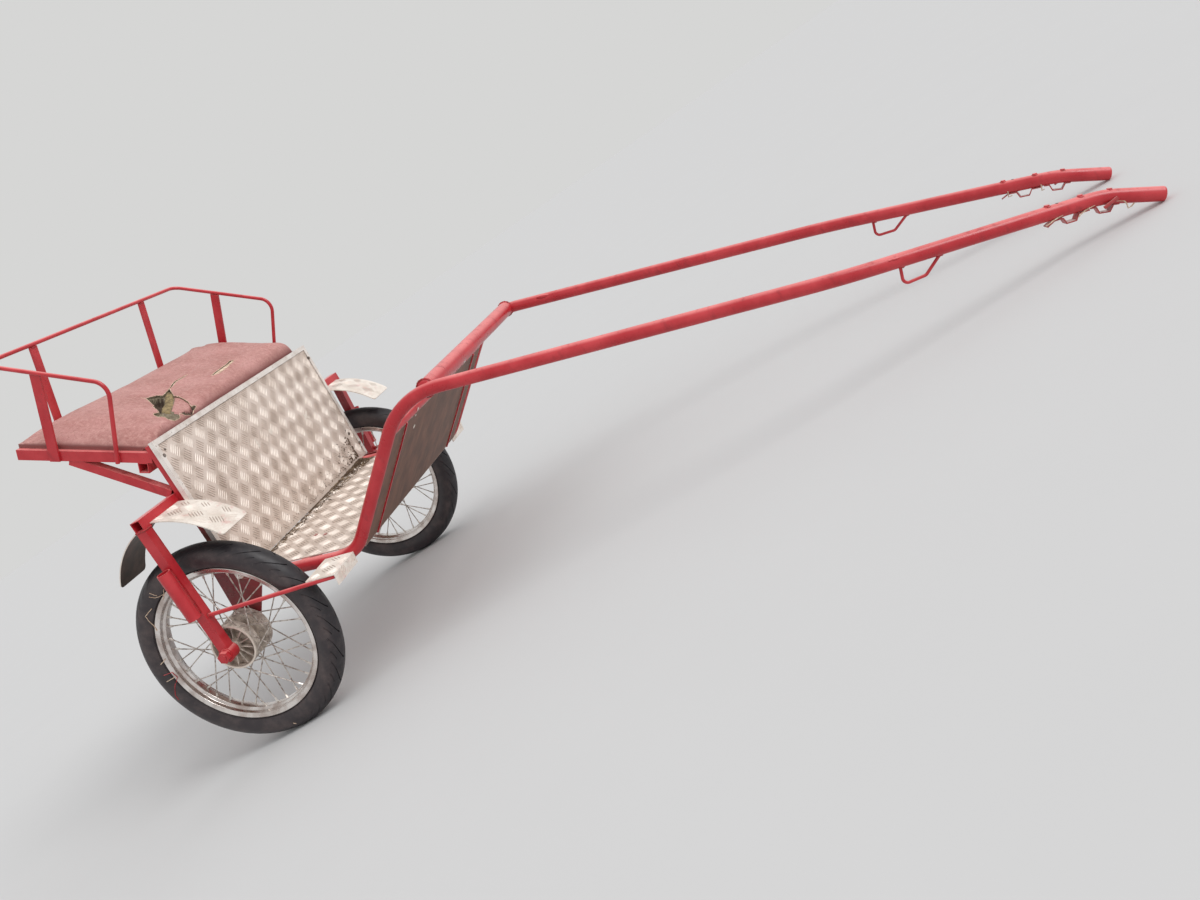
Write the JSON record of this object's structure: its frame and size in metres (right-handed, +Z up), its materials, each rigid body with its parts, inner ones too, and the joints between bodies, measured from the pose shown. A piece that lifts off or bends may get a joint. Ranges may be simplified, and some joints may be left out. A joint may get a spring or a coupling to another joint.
{
  "type": "two-wheeled horse cart",
  "caption": "Light steel road cart for one horse: long bent shafts, tread plate floor and seat-front panel, cushioned bench with a rod railing, and wire motorcycle wheels under short guards",
  "frame": {"origin": "on the ground, in the middle of the parked cart's length and width", "axes": "+X towards the shaft tips, +Y to the cart's left, +Z up, as it stands parked on its wheels and shaft tips"},
  "size_m": [2.9284, 1.3972, 1.3164],
  "materials": {
    "red_paint": "worn gloss red paint",
    "grey_paint": "matt grey-brown",
    "tread_plate": "dull five-bar tread plate",
    "cast_alloy": "dull cast and rolled alloy",
    "plain_steel": "dull, lightly rusted",
    "tyre": "dusty black",
    "seat_cover": "faded padded vinyl",
    "plywood": "bare plywood"
  },
  "bodies": {
    "cart": {"cross_tube": "red_paint", "floor_sheet": "tread_plate", "floor_bearers": "red_paint", "dash_bars": "red_paint", "dash_board": "grey_paint", "dash_cap": "red_paint", "seat_front_panel": "tread_plate", "panel_edging": "tread_plate", "crossbar": "red_paint", "seat_frame": "red_paint", "seat_front_tube": "red_paint", "seat_board": "plywood", "seat_cushion": "seat_cover", "railing_rod": "red_paint", "railing_posts": "red_paint", "main_tube_right": "red_paint", "main_tube_left": "red_paint", "panel_post_right": "red_paint", "panel_post_left": "red_paint", "fork_leg_right": "red_paint", "fork_leg_left": "red_paint", "socket_tube_right": "red_paint", "socket_tube_left": "red_paint", "wheel_plate_right": "red_paint", "wheel_plate_left": "red_paint", "spindle_right": "plain_steel", "spindle_left": "plain_steel", "brake_plate_right": "cast_alloy", "brake_plate_left": "cast_alloy", "step_stay_right": "red_paint", "step_stay_left": "red_paint", "step_right": "tread_plate", "step_left": "tread_plate", "wheel_guard_right": "tread_plate", "wheel_guard_left": "tread_plate", "seat_strut_right": "red_paint", "seat_strut_left": "red_paint", "trace_loop_right": "red_paint", "trace_loop_left": "red_paint", "tip_fittings_right": "red_paint", "tip_fittings_left": "red_paint"},
    "wheel_right": {"tyre_right": "tyre", "rim_right": "cast_alloy", "spokes_right": "plain_steel", "hub_right": "cast_alloy"},
    "wheel_left": {"tyre_left": "tyre", "rim_left": "cast_alloy", "spokes_left": "plain_steel", "hub_left": "cast_alloy"}
  },
  "joints": [
    {"name": "wheel_spin_right", "type": "hinge", "parent": "cart", "child": "wheel_right", "pos_m": [-1.15823, -0.566, 0.306], "axis": [0, 1, 0], "continuous": true},
    {"name": "wheel_spin_left", "type": "hinge", "parent": "cart", "child": "wheel_left", "pos_m": [-1.15823, 0.566, 0.306], "axis": [0, 1, 0], "continuous": true}
  ]
}
